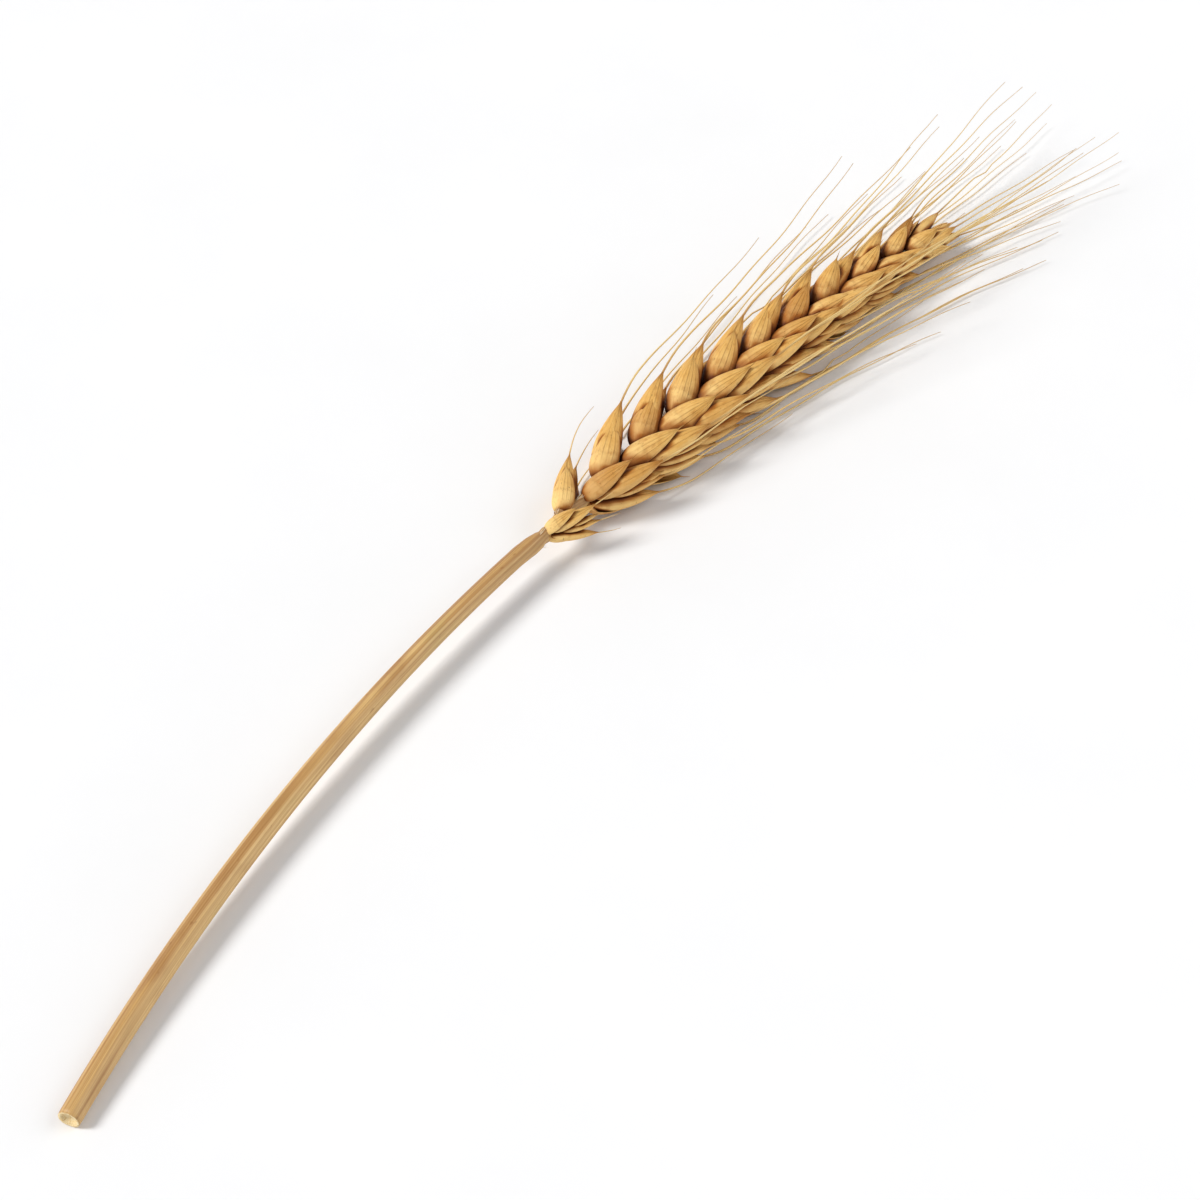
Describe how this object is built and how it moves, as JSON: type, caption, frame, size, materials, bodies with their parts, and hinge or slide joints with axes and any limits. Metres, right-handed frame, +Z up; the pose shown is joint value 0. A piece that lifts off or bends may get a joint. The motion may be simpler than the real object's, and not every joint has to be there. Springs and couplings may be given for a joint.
{
  "type": "wheat ear",
  "caption": "Dried bearded wheat ear on a length of cut straw, lying on its side: two rows of plump overlapping husks on a zigzag stalk, their tips drawn out into long fine awns",
  "frame": {"origin": "on the surface that the ear lies on, under the middle of its box", "axes": "+Z up; +X along the ear from the straw's cut end towards the awn tips; +Y to the left of the ear, which nods to its right"},
  "size_m": [0.2206, 0.0364, 0.0139],
  "materials": {
    "straw": "dry straw, golden, satin on the stalk and matt on the husks"
  },
  "bodies": {
    "root": {"wheat_ear": "straw"}
  },
  "joints": []
}
